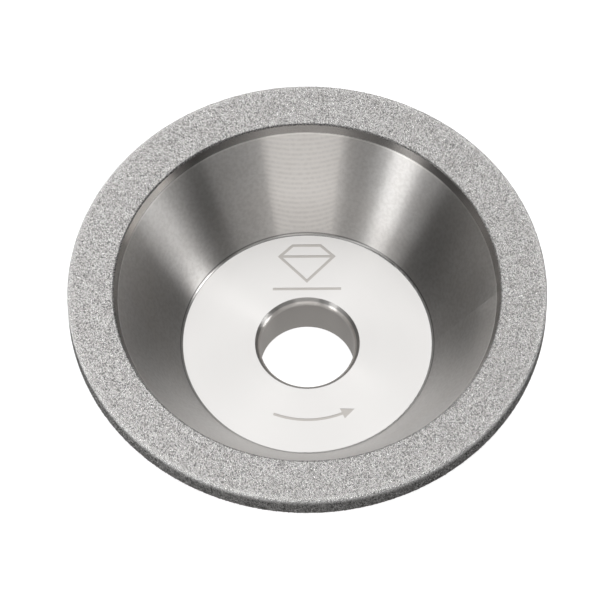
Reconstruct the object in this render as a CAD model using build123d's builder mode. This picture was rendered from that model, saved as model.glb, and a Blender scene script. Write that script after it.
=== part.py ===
"""Cup-shaped diamond grinding wheel: a turned steel body whose rim carries diamond grains held in nickel plating.

All sizes are in millimetres. The wheel's axis is Z, the back face that seats on the spindle's flange lies on
Z = 0, and the cup opens upwards to the flat grinding face. Each piece is turned or plated all round, so it is
a section in the XZ plane, with X as the radius, revolved about Z.
"""

import os

from build123d import *

# Overall sizes, over the tips of the diamonds.
wheel_diameter = 100.0
wheel_height = 35.0

# Mounting: the plain bore, and the web that the spindle's flange and nut clamp.
bore_diameter = 20.0
bore_chamfer = 1.1
bore_edge_radius = 0.8
web_thickness = 12.0
back_diameter = 62.0
back_chamfer = 1.0

# Inside of the cup: a flat floor, a long cone, and a short steep lip under the grinding face.
floor_diameter = 53.2
floor_corner_radius = 0.6
lip_height = 2.2
lip_taper = 0.8
lip_edge_radius = 1.5

# Grinding rim: the flat face, and the plated parts of its outer side and of the lip.
face_width = 9.6
band_height = 5.0
lip_plating_height = 0.3
rim_corner_radius = 0.5
bare_rim_height = 0.3
bare_rim_edge_radius = 0.25

# Plating: the nickel covers the lower part of each grain, and the grains' tips stand out of it.
nickel_thickness = 0.13
grain_exposure = 0.1

# Marks cut in the floor: a gem over a bar on the +Y side of the bore, and a turning arrow on the -Y side.
mark_depth = 0.05
mark_stroke = 0.6
mark_margin = 1.8
mark_gap = 1.2
gem_width = 12.4
gem_crown_height = 3.0
bar_length = 14.6
arrow_span = 46.0
arrow_head_length = 2.8
arrow_head_width = 2.6

# The bare steel lies under the plating.
plating = nickel_thickness + grain_exposure
rim_radius = wheel_diameter / 2 - plating
mouth_radius = wheel_diameter / 2 - face_width + plating
face_z = wheel_height - plating
band_end_z = wheel_height - band_height
bare_rim_z = band_end_z - bare_rim_height
lip_foot_z = wheel_height - lip_height
lip_foot_radius = wheel_diameter / 2 - face_width - lip_taper
steel_corner_radius = rim_corner_radius - plating

bore_radius = bore_diameter / 2
back_radius = back_diameter / 2
floor_radius = floor_diameter / 2
floor_z = web_thickness

# The marks lie in the clear part of the floor, between the bore's chamfer and the corner of the cup.
marks_inner_radius = bore_radius + bore_chamfer + mark_margin
marks_outer_radius = floor_radius - floor_corner_radius - mark_margin
marks_middle_radius = (marks_inner_radius + marks_outer_radius) / 2
gem_height = marks_outer_radius - marks_inner_radius - mark_gap - mark_stroke


def gem_over_bar():
    """The outline of a cut gem seen from its side, with a bar under it, about the origin."""
    bar_y = -(gem_height + mark_gap) / 2
    point_y = bar_y + mark_gap + mark_stroke / 2
    top_y = point_y + gem_height
    girdle_y = top_y - gem_crown_height
    with BuildSketch() as mark:
        with BuildLine():
            Polyline(
                (-gem_width / 2, girdle_y),
                (-gem_width / 4, top_y),
                (gem_width / 4, top_y),
                (gem_width / 2, girdle_y),
                (0, point_y),
                close=True,
            )
        make_face()
        offset(amount=-mark_stroke, kind=Kind.INTERSECTION, mode=Mode.SUBTRACT)
        with Locations((0, girdle_y)):
            Rectangle(gem_width - 2 * mark_stroke, mark_stroke)
        with Locations((0, bar_y)):
            Rectangle(bar_length, mark_stroke)
    return mark.sketch


def turning_arrow():
    """An arrow that curves about the wheel's axis, on the -Y side."""
    tail_angle = 270 - arrow_span / 2
    tip_angle = 270 + arrow_span / 2
    with BuildSketch() as mark:
        with BuildLine():
            CenterArc((0, 0), marks_middle_radius, tail_angle, arrow_span)
        trace(line_width=mark_stroke)
        with PolarLocations(marks_middle_radius, 1, start_angle=tip_angle):
            Polygon((-arrow_head_width / 2, 0), (arrow_head_width / 2, 0), (0, arrow_head_length), align=None)
    return mark.sketch


def plating_section(thickness):
    """The plating's section up to a thickness, from part of the way down the lip to the end of the band."""
    lip_share = lip_plating_height / (face_z - lip_foot_z)
    lip_end_radius = mouth_radius + (lip_foot_radius - mouth_radius) * lip_share
    with BuildSketch() as section:
        with BuildLine():
            steel_surface = FilletPolyline(
                (lip_end_radius, face_z - lip_plating_height),
                (mouth_radius, face_z),
                (rim_radius, face_z),
                (rim_radius, band_end_z),
                radius=steel_corner_radius,
            )
            offset(steel_surface, amount=thickness, side=Side.LEFT)
        make_face()
    return section.sketch


def corner(radius, height):
    """The corner of the steel body's section at a radius and a height."""
    return steel_section.vertices().sort_by_distance((radius, height))[0]


with BuildPart() as steel_body:
    with BuildSketch(Plane.XZ) as steel_section:
        with BuildLine():
            Polyline(
                (bore_radius, 0),
                (back_radius, 0),
                (rim_radius, bare_rim_z),
                (rim_radius, face_z),
                (mouth_radius, face_z),
                (lip_foot_radius, lip_foot_z),
                (floor_radius, floor_z),
                (bore_radius, floor_z),
                close=True,
            )
        make_face()
        fillet((corner(rim_radius, face_z), corner(mouth_radius, face_z)), steel_corner_radius)
        fillet(corner(lip_foot_radius, lip_foot_z), lip_edge_radius)
        fillet(corner(floor_radius, floor_z), floor_corner_radius)
        fillet(corner(rim_radius, bare_rim_z), bare_rim_edge_radius)
        chamfer(corner(back_radius, 0), back_chamfer)
        chamfer((corner(bore_radius, 0), corner(bore_radius, floor_z)), bore_chamfer)
        fillet((corner(bore_radius, bore_chamfer), corner(bore_radius, floor_z - bore_chamfer)), bore_edge_radius)
    revolve(axis=Axis.Z)

    with BuildSketch(Plane.XY.offset(floor_z)):
        with Locations((0, marks_middle_radius)):
            add(gem_over_bar())
        add(turning_arrow())
    extrude(amount=-mark_depth, mode=Mode.SUBTRACT)

with BuildPart() as nickel_bond:
    with BuildSketch(Plane.XZ):
        add(plating_section(nickel_thickness))
    revolve(axis=Axis.Z)

# The layer in which the tips of the grains stand, as one shell that just holds them all.
with BuildPart() as diamond_grit:
    with BuildSketch(Plane.XZ):
        add(plating_section(plating))
        add(plating_section(nickel_thickness), mode=Mode.SUBTRACT)
    revolve(axis=Axis.Z)

os.makedirs("parts", exist_ok=True)
steel_body.part.label = "steel_body"
nickel_bond.part.label = "nickel_bond"
diamond_grit.part.label = "diamond_grit"
for piece in (steel_body.part, nickel_bond.part, diamond_grit.part):
    export_step(piece, f"parts/{piece.label}.step")
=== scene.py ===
"""Looks for a cup-shaped diamond grinding wheel: turned steel, a nickel bond and its coat of diamond grains.

Lengths are in metres, in the CAD model's frame: the wheel's axis is Z, its back lies on Z = 0 and the cup
opens upwards. The front of the wheel, nearest the camera, is towards -Y. The materials work in millimetres.
"""

import math
from types import SimpleNamespace

import bpy
import numpy as np
from mathutils import Matrix, Vector


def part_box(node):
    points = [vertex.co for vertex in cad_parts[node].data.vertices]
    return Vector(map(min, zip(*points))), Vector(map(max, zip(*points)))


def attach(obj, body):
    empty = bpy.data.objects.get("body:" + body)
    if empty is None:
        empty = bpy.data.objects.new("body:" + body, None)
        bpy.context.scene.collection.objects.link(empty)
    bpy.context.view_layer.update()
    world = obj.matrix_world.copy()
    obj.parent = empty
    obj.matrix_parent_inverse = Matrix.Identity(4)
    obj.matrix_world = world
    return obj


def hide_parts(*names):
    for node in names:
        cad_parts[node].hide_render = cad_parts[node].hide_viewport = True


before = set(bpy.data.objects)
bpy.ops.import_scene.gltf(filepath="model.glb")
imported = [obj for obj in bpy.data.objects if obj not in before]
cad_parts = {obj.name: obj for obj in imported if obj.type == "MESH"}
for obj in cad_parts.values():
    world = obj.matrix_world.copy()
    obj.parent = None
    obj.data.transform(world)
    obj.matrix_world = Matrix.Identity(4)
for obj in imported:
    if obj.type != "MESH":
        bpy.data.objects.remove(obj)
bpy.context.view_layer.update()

MM = 0.001
PER_MM = 1000.0

grit_low, grit_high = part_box("diamond_grit")
bond_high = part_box("nickel_bond")[1]
FACE_HEIGHT = grit_high.z


# ------------------------------------------------------------------ camera

VIEW_ELEVATION = math.radians(60.247)
VIEW_ROLL = math.radians(-0.371)
VIEW_DISTANCE = 1.06025
AIM_RIGHT = -1.487 * MM  # of the face's centre, in the picture
AIM_UP = -2.323 * MM
LENS = 305.57  # mm
SENSOR_WIDTH = 36.0  # mm


def add_camera():
    """A long lens that looks down into the cup from the front."""
    level = Vector((1, 0, 0))
    rise = Vector((0, math.sin(VIEW_ELEVATION), math.cos(VIEW_ELEVATION)))
    back = Vector((0, -math.cos(VIEW_ELEVATION), math.sin(VIEW_ELEVATION)))
    right = level * math.cos(VIEW_ROLL) + rise * math.sin(VIEW_ROLL)
    up = rise * math.cos(VIEW_ROLL) - level * math.sin(VIEW_ROLL)
    place = Vector((0, 0, FACE_HEIGHT)) + right * AIM_RIGHT + up * AIM_UP + back * VIEW_DISTANCE
    data = bpy.data.cameras.new("camera")
    data.sensor_width = SENSOR_WIDTH
    data.lens = LENS
    data.clip_start, data.clip_end = 0.05, 20
    camera = bpy.data.objects.new("camera", data)
    camera.matrix_world = Matrix.Translation(place) @ Matrix((right, up, back)).transposed().to_4x4()
    bpy.context.scene.collection.objects.link(camera)
    bpy.context.scene.camera = camera


add_camera()


# ------------------------------------------------------------------ node helpers


def add(tree, kind, inputs=None, **settings):
    """Adds a shader node. Each input is a value, or the output socket that feeds it."""
    node = tree.nodes.new("ShaderNode" + kind)
    for name, value in settings.items():
        setattr(node, name, value)
    for name, value in (inputs or {}).items():
        if isinstance(value, bpy.types.NodeSocket):
            tree.links.new(value, node.inputs[name])
        else:
            node.inputs[name].default_value = value
    return node


def maths(tree, operation, first, second=0.0, third=0.0):
    return add(tree, "Math", {0: first, 1: second, 2: third}, operation=operation).outputs[0]


def both(tree, first, second):
    """A mask where both masks hold. The second can be a plain share, which weakens the first."""
    return maths(tree, "MULTIPLY", first, second)


def within(tree, value, middle, reach):
    """A mask where the value lies no further than reach from middle."""
    return maths(tree, "COMPARE", value, middle, reach)


def between(tree, value, low, high):
    """A mask where the value lies from low to high."""
    return within(tree, value, (low + high) / 2, (high - low) / 2)


def ramp(tree, value, low, high, to_low=0.0, to_high=1.0):
    """Maps low..high to to_low..to_high, and stops at the ends."""
    inputs = {"Value": value, "From Min": low, "From Max": high, "To Min": to_low, "To Max": to_high}
    return add(tree, "MapRange", inputs).outputs["Result"]


def noise(tree, place, scale, detail):
    return add(tree, "TexNoise", {"Vector": place, "Scale": scale, "Detail": detail}).outputs["Fac"]


def blend_colours(tree, share, first, second):
    node = add(tree, "Mix", data_type="RGBA")
    for socket, value in ((node.inputs[0], share), (node.inputs[6], first), (node.inputs[7], second)):
        if isinstance(value, bpy.types.NodeSocket):
            tree.links.new(value, socket)
        else:
            socket.default_value = value
    return node.outputs[2]


def grey(level, warmth=0.0):
    """A grey of that linear level, made warmer in red and cooler in blue by the share warmth."""
    return (level * (1 + warmth), level, level * (1 - warmth), 1)


def new_material(name):
    material = bpy.data.materials.new(name)
    material.use_nodes = True
    material.node_tree.nodes.clear()
    return material, material.node_tree


def place_in_mm(tree):
    """The point in the wheel's frame, in millimetres."""
    coords = add(tree, "TexCoord").outputs["Object"]
    return add(tree, "VectorMath", {0: coords, "Scale": PER_MM}, operation="SCALE").outputs[0]


def radius_and_height(tree, place):
    parts = add(tree, "SeparateXYZ", {0: place})
    flat = add(tree, "CombineXYZ", {0: parts.outputs[0], 1: parts.outputs[1]}).outputs[0]
    radius = add(tree, "VectorMath", {0: flat}, operation="LENGTH").outputs["Value"]
    return radius, parts.outputs[2]


# ------------------------------------------------------------------ turned steel

# Places on the steel: radii from the axis and heights above the back, in mm.
BORE_RADIUS = 10.2  # just outside the bore's wall
BORE_TOP = 10.5  # just under the bore's rounded upper edge
BORE_EDGE_HIGHLIGHT_ENDS = (10.4, 10.6)  # radii between which the painted highlight on that edge turns into the chamfer's painted shade
CHAMFER_RADIUS = 11.15  # just outside the chamfer
MARKS_RADII = (12.2, 25.2)  # the part of the floor that holds the etched marks
MARKS_BOTTOM = 11.95
LEVEL_SLACK = 0.03
FLOOR_LINE_RADII = (26.45, 26.87)
FLOOR_LINE_HALF = 0.09
FLOOR_CORNER_HEIGHTS = (11.8, 13.0)
CONE_START = (26.6, 27.4)  # radii over which the cone's clouds and stains set in
CHATTER_START = (26.8, 27.6)
BACK_EDGE = 1.5  # just above the chamfers of the back
WALL_SLOPE = 0.63  # of the cone's wall: radius for height
WALL_MIDDLE = 25.0  # radius at which the middle of that wall would meet the back
LIP_FOOT = 32.8  # height at which the cone meets the steeper lip
LIP_FOOT_BLUR = 0.1
LIP_LINE_BELOW = 0.25
LIP_LINE_HALF = 0.12

FEED = 0.42  # mm of tool travel from one turning mark to the next
RING_SCALE = 5.0  # of the uneven tone from ring to ring, for each mm of travel
RING_SWIRL = 0.9  # how much that tone changes on the way round
CHATTER = 1.6  # mm of travel between the chatter arcs
CHATTER_BEARING = math.radians(-1.5)  # of the patch's middle
CHATTER_REACH = math.radians(13.5)  # to each side of it
CHATTER_BLUR = 0.02  # radians
CHATTER_SAG = 58.0  # mm of travel per square radian
LIP_HIGHLIGHT_BEARING = math.radians(-58)  # of the middle of a painted highlight on one stretch of the lip
LIP_HIGHLIGHT_REACH = (math.radians(15), math.radians(7))  # to its end and to its full strength, on each side
LIP_LINE_STRENGTH = 0.25
NOISE_BULK = (0.35, 0.65)  # most of a noise's values lie in here
STEEL_ROUGHNESS = (0.275, 0.297)
MARK_ROUGHER = 0.03
LIP_SMOOTHER = 0.09

CLEAN_STEEL = grey(0.63, 0.018)
CLOUDED_STEEL = grey(0.6, 0.026)
STAINED_STEEL = grey(0.49, 0.03)
# Painted reflection in the chatter patch, lighter than the clean steel.
CHATTER_REFLECTION_STEEL = grey(0.68, 0.03)
ETCHED_STEEL = grey(0.43, 0.05)
LIP_STEEL = grey(0.36, 0.035)
# Painted highlight on one stretch of the lip.
LIP_STRETCH_HIGHLIGHT = grey(0.97, 0.045)
# Painted highlight along the lip's foot.
LIP_FOOT_HIGHLIGHT = grey(1.0, 0.03)
# Painted shade in the floor's corner.
CORNER_SHADE_LINE = grey(0.3, 0.02)
# Painted highlight on the bore's rounded edge, and painted shade on its chamfer.
BORE_EDGE_HIGHLIGHT = grey(0.74, 0.03)
CHAMFER_SHADE = grey(0.4, 0.02)
BORE_STEEL = grey(0.68, 0.05)


def where_on_steel(tree):
    """The sockets that say where a point of the steel lies."""
    place = place_in_mm(tree)
    radius, height = radius_and_height(tree, place)
    parts = add(tree, "SeparateXYZ", {0: place})
    # From +Y towards +X.
    bearing = maths(tree, "ARCTAN2", parts.outputs[0], parts.outputs[1])
    # The tool's path across the faces: it grows with the radius on flats and with the height in the bore.
    feed = maths(tree, "ADD", radius, height)
    from_slope = maths(tree, "MULTIPLY_ADD", height, -WALL_SLOPE, radius)
    inside = maths(tree, "LESS_THAN", from_slope, WALL_MIDDLE)
    return SimpleNamespace(
        place=place, radius=radius, height=height, bearing=bearing, feed=feed, inside=inside)


def ring_tone(tree, at):
    """Noise that runs round the axis, and changes slowly along it."""
    around = add(tree, "VectorMath", {0: at.place}, operation="NORMALIZE").outputs[0]
    parts = add(tree, "SeparateXYZ", {0: around})
    where = add(tree, "CombineXYZ", {
        0: maths(tree, "MULTIPLY", at.feed, RING_SCALE),
        1: maths(tree, "MULTIPLY", parts.outputs[0], RING_SWIRL),
        2: maths(tree, "MULTIPLY", parts.outputs[1], RING_SWIRL)}).outputs[0]
    return noise(tree, where, 1.0, 3.0)


def chatter_reflection_arcs(tree, at):
    """Where the tool chattered, one patch of the cone carries sagging arcs. The chatter is real; the patch's
    lightness and its light and dark arcs are painted reflection.
    """
    off_centre = maths(tree, "SUBTRACT", at.bearing, CHATTER_BEARING)
    sag = maths(tree, "MULTIPLY", maths(tree, "MULTIPLY", off_centre, off_centre), CHATTER_SAG)
    travel = maths(tree, "SUBTRACT", at.feed, sag)
    chatter = maths(tree, "SINE", maths(tree, "MULTIPLY", travel, 2 * math.pi / CHATTER))
    on_inner_cone = both(tree, at.inside, ramp(tree, at.radius, *CHATTER_START))
    aside = maths(tree, "ABSOLUTE", off_centre)
    in_patch = both(tree, on_inner_cone, ramp(tree, aside, CHATTER_REACH, CHATTER_REACH - CHATTER_BLUR))
    return both(tree, in_patch, maths(tree, "MULTIPLY_ADD", chatter, 0.32, 0.5))


def steel_colour(tree, at, in_mark, on_lip):
    """The steel's tone, laid on in layers from the clean metal up; some layers are painted highlights, shade
    and reflection.
    """
    # Handling and coolant leave soft clouds and fine stains on the cone, inside and out.
    by_back = maths(tree, "LESS_THAN", at.height, BACK_EDGE)
    on_cone = maths(tree, "MAXIMUM", ramp(tree, at.radius, *CONE_START), by_back)
    clouds = both(tree, on_cone, ramp(tree, noise(tree, at.place, 0.11, 3.0), *NOISE_BULK))
    stains = both(tree, on_cone, ramp(tree, noise(tree, at.place, 1.3, 4.0), 0.4, 0.62, 0.0, 0.5))

    # A painted highlight lightens one stretch of the lip.
    off_lip_highlight = maths(tree, "ABSOLUTE", maths(tree, "SUBTRACT", at.bearing, LIP_HIGHLIGHT_BEARING))
    lip_tone_and_highlight = blend_colours(tree, ramp(tree, off_lip_highlight, *LIP_HIGHLIGHT_REACH), LIP_STEEL, LIP_STRETCH_HIGHLIGHT)
    # A painted highlight runs as a bright line along the lip's foot, and the floor's corner starts and ends
    # in a dark line of painted shade.
    by_lip = within(tree, at.height, LIP_FOOT - LIP_LINE_BELOW, LIP_LINE_HALF)
    lip_foot_highlight = both(tree, both(tree, at.inside, by_lip), LIP_LINE_STRENGTH)
    in_corner = between(tree, at.height, *FLOOR_CORNER_HEIGHTS)
    corner_shade_lines = [
        both(tree, within(tree, at.radius, ring, FLOOR_LINE_HALF), in_corner) for ring in FLOOR_LINE_RADII]

    # The bore's chamfer is painted darker with shade, and the rounded edge inside it carries a painted
    # highlight.
    on_chamfer = both(tree, maths(tree, "LESS_THAN", at.radius, CHAMFER_RADIUS),
                      maths(tree, "GREATER_THAN", at.height, BORE_TOP))
    chamfer_shade_and_highlight = blend_colours(tree, ramp(tree, at.radius, *BORE_EDGE_HIGHLIGHT_ENDS), BORE_EDGE_HIGHLIGHT, CHAMFER_SHADE)
    in_bore = both(tree, maths(tree, "LESS_THAN", at.radius, BORE_RADIUS),
                   maths(tree, "LESS_THAN", at.height, BORE_TOP))

    layers = [
        (clouds, CLOUDED_STEEL), (stains, STAINED_STEEL), (chatter_reflection_arcs(tree, at), CHATTER_REFLECTION_STEEL),
        (in_mark, ETCHED_STEEL), (on_lip, lip_tone_and_highlight), (lip_foot_highlight, LIP_FOOT_HIGHLIGHT),
        *((line, CORNER_SHADE_LINE) for line in corner_shade_lines), (on_chamfer, chamfer_shade_and_highlight), (in_bore, BORE_STEEL)]
    colour = CLEAN_STEEL
    for share, tone in layers:
        colour = blend_colours(tree, share, colour, tone)
    return colour


def turned_steel():
    """Steel from the lathe: fine rings round the axis, streaky reflections across them, matt etched marks."""
    material, tree = new_material("turned_steel")
    at = where_on_steel(tree)
    in_mark = both(tree, within(tree, at.height, MARKS_BOTTOM, LEVEL_SLACK),
                   between(tree, at.radius, *MARKS_RADII))
    on_lip = ramp(tree, at.height, LIP_FOOT - LIP_FOOT_BLUR, LIP_FOOT + LIP_FOOT_BLUR)
    colour = steel_colour(tree, at, in_mark, on_lip)

    tone = ring_tone(tree, at)
    feed_marks = maths(tree, "SINE", maths(tree, "MULTIPLY", at.feed, 2 * math.pi / FEED))
    relief = maths(tree, "MULTIPLY_ADD", feed_marks, 0.25, maths(tree, "MULTIPLY", tone, 0.12))
    bump = add(tree, "Bump", {"Height": relief, "Strength": 0.12, "Distance": 0.02 * MM})
    # Etching dulls the marks a little, and the lip is smoother than the rest.
    rough = ramp(tree, tone, 0.25, 0.75, *STEEL_ROUGHNESS)
    rough = maths(tree, "MULTIPLY_ADD", in_mark, MARK_ROUGHER, rough)
    rough = maths(tree, "MULTIPLY_ADD", on_lip, -LIP_SMOOTHER, rough)
    # A quarter turn from the rings' own direction stretches the highlights across the rings.
    tangent = add(tree, "Tangent", direction_type="RADIAL", axis="Z")
    shader = add(tree, "BsdfPrincipled", {
        "Base Color": colour, "Metallic": 1.0, "Roughness": rough, "Anisotropic": 0.93,
        "Anisotropic Rotation": 0.25, "Normal": bump.outputs[0], "Tangent": tangent.outputs[0]})
    add(tree, "OutputMaterial", {0: shader.outputs[0]})
    return material


# ------------------------------------------------------------------ nickel and diamond

NICKEL_DARK = grey(0.42, 0.03)
NICKEL_PALE = grey(0.5, 0.02)
GRAIN_DARK = grey(0.4, 0.012)
GRAIN_PALE = grey(1.0, 0.008)
# Painted shade on the outer band.
SHADED_BAND_DARK = grey(0.12, 0.03)
SHADED_BAND_PALE = grey(0.64, 0.02)
# Painted shade at the cup's mouth.
MOUTH_SHADE = grey(0.2, 0.02)

NICKEL_ROUGHNESS = (0.36, 0.5)
GRAIN_ROUGHNESS = (0.14, 0.26)
SHADE_CELL = 0.3  # mm, about one grain to each shade
BAND_SHADE_START = (34.5, 33.4)  # heights in mm over which painted shade darkens the grains of the outer band
RIM_HIGHLIGHT = (48.5, 49.4)  # radii in mm over which a painted highlight makes the grains paler towards the rim
RIM_HIGHLIGHT_STRENGTH = 0.6
MOUTH_SHADE_EDGE = (40.75, 40.5)  # radii in mm over which painted shade darkens them at the cup's mouth
MOUTH_SHADE_STRENGTH = 0.85


def plated_nickel():
    """Matt nickel that has grown up between the grains, in soft lumps."""
    material, tree = new_material("plated_nickel")
    place = place_in_mm(tree)
    lumps = noise(tree, place, 4.5, 3.0)
    clouds = noise(tree, place, 0.35, 2.0)
    colour = blend_colours(tree, ramp(tree, clouds, *NOISE_BULK), NICKEL_DARK, NICKEL_PALE)
    rough = ramp(tree, lumps, 0.3, 0.7, *NICKEL_ROUGHNESS)
    bump = add(tree, "Bump", {"Height": lumps, "Strength": 0.6, "Distance": 0.06 * MM})
    shader = add(tree, "BsdfPrincipled", {
        "Base Color": colour, "Metallic": 1.0, "Roughness": rough, "Normal": bump.outputs[0]})
    add(tree, "OutputMaterial", {0: shader.outputs[0]})
    return material


def diamond_grains():
    """Pale grey-brown crystals, each of its own shade, with a painted highlight at the rim and painted shade
    on the outer band and at the mouth.
    """
    material, tree = new_material("diamond_grains")
    place = place_in_mm(tree)
    radius, height = radius_and_height(tree, place)
    cells = add(tree, "TexVoronoi", {"Vector": place, "Scale": 1 / SHADE_CELL})
    shade = add(tree, "SeparateColor", {0: cells.outputs["Color"]}).outputs[0]
    colour = blend_colours(tree, shade, GRAIN_DARK, GRAIN_PALE)
    # Painted highlight on the rounded rim.
    rim_highlight_share = both(tree, ramp(tree, radius, *RIM_HIGHLIGHT), RIM_HIGHLIGHT_STRENGTH)
    colour = blend_colours(tree, rim_highlight_share, colour, GRAIN_PALE)
    # Painted shade darkens the outer band.
    shaded_band_colour = blend_colours(tree, ramp(tree, shade, 0.3, 1.0), SHADED_BAND_DARK, SHADED_BAND_PALE)
    colour = blend_colours(tree, ramp(tree, height, *BAND_SHADE_START), colour, shaded_band_colour)
    # Painted shade at the cup's mouth.
    mouth_shade_share = both(tree, ramp(tree, radius, *MOUTH_SHADE_EDGE), MOUTH_SHADE_STRENGTH)
    colour = blend_colours(tree, mouth_shade_share, colour, MOUTH_SHADE)
    rough = ramp(tree, shade, 0.0, 1.0, *GRAIN_ROUGHNESS)
    facets = noise(tree, place, 14.0, 2.0)
    bump = add(tree, "Bump", {"Height": facets, "Strength": 0.2, "Distance": 0.02 * MM})
    shader = add(tree, "BsdfPrincipled", {
        "Base Color": colour, "Metallic": 0.85, "Roughness": rough, "IOR": 2.0, "Normal": bump.outputs[0]})
    add(tree, "OutputMaterial", {0: shader.outputs[0]})
    return material


def dress(piece, material):
    """Gives a CAD node or new piece one material."""
    slots = piece.data.materials
    slots.clear()
    slots.append(material)


dress(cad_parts["steel_body"], turned_steel())
dress(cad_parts["nickel_bond"], plated_nickel())


# ------------------------------------------------------------------ diamond grains

GRAIN_SPACING = 0.32 * MM
GRAIN_NUDGE = 0.24  # spread of a grain's place, as a share of the spacing
GRAIN_WIDTH = 0.185 * MM  # from a grain's middle to the corners of its foot
GRAIN_TOP_WIDTH = 0.84  # of its top, as a share of its foot
GRAIN_HEIGHTS = (0.5, 0.95)  # of its top's middle, as a share of the coat that stands out of the nickel
GRAIN_HIGHEST = 0.98  # of its top's corners, as such a share
GRAIN_LOWEST = -0.02 * MM  # of its top's corners, against the nickel's surface
GRAIN_ROOT = 0.05 * MM  # how far a grain goes down into the nickel
GRAIN_TILT = 0.25  # spread of the slope of a grain's top
CORNER_SWING = 0.16  # spread of a corner's direction, in radians
CORNER_SHARES = (0.78, 1.2)  # how far out a corner lies, as a share of its grain's width
GRAIN_SIZES = (0.8, 1.15)  # of whole grains, as a share of the usual width
GRAIN_SEED = 7

COAT_CORNER_RADIUS = 0.5 * MM  # at the mouth and the rim
COAT_CORNER_STEPS = 9
LIP_LEAN = 0.523  # how far the lip's side comes in for its height
COAT_MARGIN = 0.002 * MM  # how far the grains keep inside the coat's box
COAT_END_MARGIN = 0.05 * MM  # and inside the two ends of its section
SECTORS = 4

# The flat map that finishes are baked to: angle round the rim against distance along the section.
MAP_RADIUS = (grit_high.x + 40 * MM) / 2  # turns the angle into a length, half way across the face
MAP_MARGIN = 0.005

# A blunt crystal: corners 0 to 3 round its top, and 4 to 7 round its foot, half a step further on.
GRAIN_CORNERS = 8
GRAIN_FACES = np.array([(0, 1, 2), (0, 2, 3), (6, 5, 4), (7, 6, 4)]
                       + [(4 + k, (k + 1) % 4, k) for k in range(4)]
                       + [(4 + k, 4 + (k + 1) % 4, (k + 1) % 4) for k in range(4)])


def coat_section():
    """The section of the coat's outer surface, from the lip over the face to the band's foot.

    Returns points (radius, height), the outward normal at each, and its distance along the section.
    """
    places = np.array([v.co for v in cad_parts["diamond_grit"].data.vertices])
    radius = np.hypot(places[:, 0], places[:, 1])
    lip_end = np.array((radius.min(), places[radius.argmin(), 2]))
    rim = grit_high.x
    mouth = lip_end[0] + LIP_LEAN * (FACE_HEIGHT - lip_end[1])
    corners = np.array([lip_end, (mouth, FACE_HEIGHT), (rim, FACE_HEIGHT), (rim, grit_low.z)])
    points, normals = [], []
    for before, corner, after in zip(corners, corners[1:], corners[2:]):
        arrive, leave = corner - before, after - corner
        arrive, leave = arrive / np.linalg.norm(arrive), leave / np.linalg.norm(leave)
        turn = math.acos(float(arrive @ leave))
        start = corner - arrive * COAT_CORNER_RADIUS * math.tan(turn / 2)
        outward = np.array((-arrive[1], arrive[0]))
        centre = start - outward * COAT_CORNER_RADIUS
        for share in np.linspace(0, 1, COAT_CORNER_STEPS):
            angle = turn * share
            normal = outward * math.cos(angle) + arrive * math.sin(angle)
            points.append(centre + normal * COAT_CORNER_RADIUS)
            normals.append(normal)
    points = np.array([corners[0], *points, corners[-1]])
    normals = np.array([normals[0], *normals, normals[-1]])
    steps = np.linalg.norm(np.diff(points, axis=0), axis=1)
    return points, normals, np.concatenate([[0], np.cumsum(steps)])


def scatter_grains(draw, points, along):
    """Where the grains sit: rows round the axis, each grain nudged at random.

    Returns each grain's distance along the section, and its angle round the axis.
    """
    row_pitch = GRAIN_SPACING * math.sqrt(3) / 2
    spots = []
    for row in np.arange(row_pitch / 2, along[-1] - row_pitch / 3, row_pitch):
        count = round(2 * math.pi * np.interp(row, along, points[:, 0]) / GRAIN_SPACING)
        step = np.arange(count) + draw.random() + draw.normal(0, GRAIN_NUDGE, count)
        angle = step * (2 * math.pi / count) % (2 * math.pi)
        spots.append(np.stack([row + draw.normal(0, GRAIN_NUDGE * row_pitch, count), angle], axis=1))
    distance, angle = np.concatenate(spots).T
    return np.clip(distance, COAT_END_MARGIN, along[-1] - COAT_END_MARGIN), angle


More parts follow.
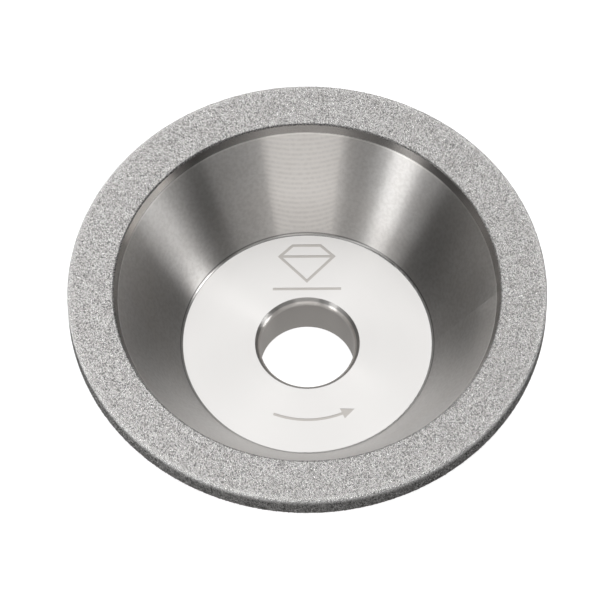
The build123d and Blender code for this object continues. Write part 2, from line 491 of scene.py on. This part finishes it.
def grain_vertices(draw, points, normals, along, distance, angle):
    """The corners of every grain, as an array of grains by corners by coordinates."""
    radius, height = np.interp(distance, along, points[:, 0]), np.interp(distance, along, points[:, 1])
    lean_out, lean_up = np.interp(distance, along, normals[:, 0]), np.interp(distance, along, normals[:, 1])
    exposed = grit_high.z - bond_high.z
    upwards = np.array((0, 0, 1))
    out = np.stack([np.cos(angle), np.sin(angle), np.zeros_like(angle)], axis=1)
    around = np.stack([-np.sin(angle), np.cos(angle), np.zeros_like(angle)], axis=1)
    normal = out * lean_out[:, None] + upwards * lean_up[:, None]
    middle = out * radius[:, None] + upwards * height[:, None] - normal * exposed
    along_face = np.cross(normal, around)

    # Corners as (across, forward, up) from the middle of each grain's own place on the nickel.
    size = (len(angle), GRAIN_CORNERS)
    each = (len(angle), 1)
    step = np.concatenate([np.arange(4), np.arange(4) + 0.5]) * (math.pi / 2)
    turn = step + draw.uniform(0, 2 * math.pi, each) + draw.normal(0, CORNER_SWING, size)
    ring = np.repeat((GRAIN_TOP_WIDTH, 1.0), 4) * draw.uniform(*CORNER_SHARES, size)
    ring = ring * draw.uniform(*GRAIN_SIZES, each)
    across, forward = ring * np.cos(turn) * GRAIN_WIDTH, ring * np.sin(turn) * GRAIN_WIDTH
    slope = draw.normal(0, GRAIN_TILT, (len(angle), 2))
    top = exposed * draw.uniform(*GRAIN_HEIGHTS, each)
    top = top + slope[:, :1] * across[:, :4] + slope[:, 1:] * forward[:, :4]
    up = np.full(size, -GRAIN_ROOT)
    up[:, :4] = np.clip(top, GRAIN_LOWEST, GRAIN_HIGHEST * exposed)
    vertices = (middle[:, None] + across[..., None] * around[:, None]
                + forward[..., None] * along_face[:, None] + up[..., None] * normal[:, None])

    # Round the rim a chord's ends lie further out than its middle, so no point may pass the coat's radius.
    reach = np.hypot(vertices[..., 0], vertices[..., 1])
    vertices[..., :2] *= np.minimum(1, (grit_high.x - COAT_MARGIN) / reach)[..., None]
    vertices[..., 2] = np.clip(vertices[..., 2], grit_low.z + COAT_MARGIN, FACE_HEIGHT - COAT_MARGIN)
    return vertices


def grain_mesh(name, vertices, distance, angle, first_angle):
    """One mesh of separate grains, with its flat map."""
    places = vertices.reshape(-1, 3)
    faces = (GRAIN_FACES[None] + GRAIN_CORNERS * np.arange(len(vertices))[:, None, None]).reshape(-1, 3)
    mesh = bpy.data.meshes.new(name)
    mesh.vertices.add(len(places))
    mesh.vertices.foreach_set("co", places.ravel())
    mesh.loops.add(faces.size)
    mesh.loops.foreach_set("vertex_index", faces.ravel())
    mesh.polygons.add(len(faces))
    mesh.polygons.foreach_set("loop_start", np.arange(0, faces.size, 3))
    mesh.update(calc_edges=True)
    mesh.validate()

    grain_angle = np.repeat(angle, GRAIN_CORNERS)
    corner_angle = np.arctan2(places[:, 1], places[:, 0]) % (2 * math.pi)
    offset = (corner_angle - grain_angle + math.pi) % (2 * math.pi) - math.pi
    u = (grain_angle + offset - first_angle) * MAP_RADIUS
    v = np.repeat(distance, GRAIN_CORNERS)
    flat = np.stack([u, v], axis=1)[faces.ravel()]
    flat = MAP_MARGIN + (1 - 2 * MAP_MARGIN) * flat / flat.max()
    mesh.uv_layers.new(name="OFBake").data.foreach_set("uv", flat.astype(np.float32).ravel())
    return mesh


def add_grains(material):
    """The coat of crystals, in four quarters of the rim."""
    draw = np.random.default_rng(GRAIN_SEED)
    points, normals, along = coat_section()
    distance, angle = scatter_grains(draw, points, along)
    vertices = grain_vertices(draw, points, normals, along, distance, angle)
    pieces = []
    for sector in range(SECTORS):
        low = 2 * math.pi * sector / SECTORS
        chosen = np.flatnonzero((angle >= low) & (angle < low + 2 * math.pi / SECTORS))
        name = f"grit_quarter_{sector + 1}"
        mesh = grain_mesh(name, vertices[chosen], distance[chosen], angle[chosen], low)
        piece = bpy.data.objects.new(name, mesh)
        bpy.context.scene.collection.objects.link(piece)
        dress(piece, material)
        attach(piece, "root")
        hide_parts("diamond_grit")
        pieces.append(piece)
    return pieces


grit_pieces = add_grains(diamond_grains())


# ------------------------------------------------------------------ stage and light

SHEET_HALF = 4.0
SHEET_DROP = 0.5 * MM  # keeps the sheet clear of the wheel's back
CUP_MIDDLE = Vector((0, 0, 25 * MM))
TABLE_SHADE_EDGE = (-0.75, -0.55)  # vertical parts of the directions over which the wheel's shade ends
HORIZON = (-0.05, 0.15)


def add_floor():
    """A wide white sheet under the wheel."""
    mesh = bpy.data.meshes.new("floor")
    corners = [(x * SHEET_HALF, y * SHEET_HALF, 0) for x, y in ((-1, -1), (1, -1), (1, 1), (-1, 1))]
    mesh.from_pydata(corners, [], [(0, 1, 2, 3)])
    floor = bpy.data.objects.new("floor", mesh)
    floor.location.z = -SHEET_DROP
    bpy.context.scene.collection.objects.link(floor)
    material, tree = new_material("floor_sheet")
    sheet = add(tree, "BsdfDiffuse", {"Color": grey(0.8)})
    glow = add(tree, "Emission", {"Color": grey(1.0), "Strength": 0.9})
    glowing_sheet = add(tree, "AddShader", {0: sheet.outputs[0], 1: glow.outputs[0]})
    add(tree, "OutputMaterial", {0: glowing_sheet.outputs[0]})
    dress(floor, material)
    floor.visible_glossy = False
    floor.visible_diffuse = False


def add_world(seen, above, below, around):
    """A pale room to the camera. The metal sees a dim room above, and a table below.

    The table is shaded under the wheel, and bright further out around it.
    """
    world = bpy.data.worlds.new("studio")
    world.use_nodes = True
    tree = world.node_tree
    tree.nodes.clear()
    to_camera = add(tree, "LightPath").outputs["Is Camera Ray"]
    upwards = add(tree, "SeparateXYZ", {0: add(tree, "TexCoord").outputs["Generated"]}).outputs[2]
    table = ramp(tree, upwards, *TABLE_SHADE_EDGE, below, around)
    room = ramp(tree, upwards, *HORIZON, table, above)
    level = maths(tree, "MAXIMUM", maths(tree, "MULTIPLY", to_camera, seen), room)
    backdrop = add(tree, "Background", {"Color": grey(1.0), "Strength": level})
    add(tree, "OutputWorld", {0: backdrop.outputs[0]})
    bpy.context.scene.world = world


steel_only = bpy.data.collections.new("steel_only")
steel_only.objects.link(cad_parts["steel_body"])
rim_only = bpy.data.collections.new("rim_only")
for piece in (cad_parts["nickel_bond"], *grit_pieces):
    rim_only.objects.link(piece)


def add_softbox(name, azimuth, elevation, wide, high, radiance, warmth=0.0, distance=0.9, only=None):
    """A soft light that faces the cup. Wide and high are the angles that it fills, in degrees.

    A light with `only` falls on that collection, and is kept off the rest.
    """
    a, e = math.radians(azimuth), math.radians(elevation)
    towards = Vector((math.cos(a) * math.cos(e), math.sin(a) * math.cos(e), math.sin(e)))
    data = bpy.data.lights.new(name, "AREA")
    data.shape = "RECTANGLE"
    data.size = 2 * distance * math.tan(math.radians(wide) / 2)
    data.size_y = 2 * distance * math.tan(math.radians(high) / 2)
    # Four watts on each square metre make an area light as bright as a surface of strength one.
    data.energy = 4 * radiance * data.size * data.size_y
    data.color = grey(1.0, warmth)[:3]
    light = bpy.data.objects.new(name, data)
    light.location = CUP_MIDDLE + towards * distance
    light.rotation_mode = "QUATERNION"
    light.rotation_quaternion = towards.to_track_quat("Z", "Y")
    if only:
        light.light_linking.receiver_collection = only
    bpy.context.scene.collection.objects.link(light)


add_floor()
add_world(seen=1.05, above=0.04, below=0.26, around=0.72)
add_softbox("overhead", azimuth=96, elevation=62, wide=52, high=72, radiance=1.2)
add_softbox("rim_light", azimuth=195, elevation=55, wide=60, high=60, radiance=1.72, only=rim_only)
add_softbox("left_strip", azimuth=220.5, elevation=25, wide=13, high=23, radiance=3.4, only=steel_only)
add_softbox("left_glow", azimuth=217, elevation=25, wide=34, high=24, radiance=0.95, only=steel_only)
add_softbox("right_strip", azimuth=-3.5, elevation=34, wide=15, high=26, radiance=5.2, only=steel_only)
add_softbox("front_fill", azimuth=270.5, elevation=24, wide=37, high=26, radiance=1.27, warmth=0.02,
            only=steel_only)
add_softbox("front_left", azimuth=243, elevation=24, wide=17, high=26, radiance=0.36, warmth=0.01,
            only=steel_only)
add_softbox("front_right", azimuth=305, elevation=24, wide=31, high=26, radiance=0.45, warmth=0.01,
            only=steel_only)

view = bpy.context.scene.view_settings
view.view_transform = "Standard"
view.look = "None"
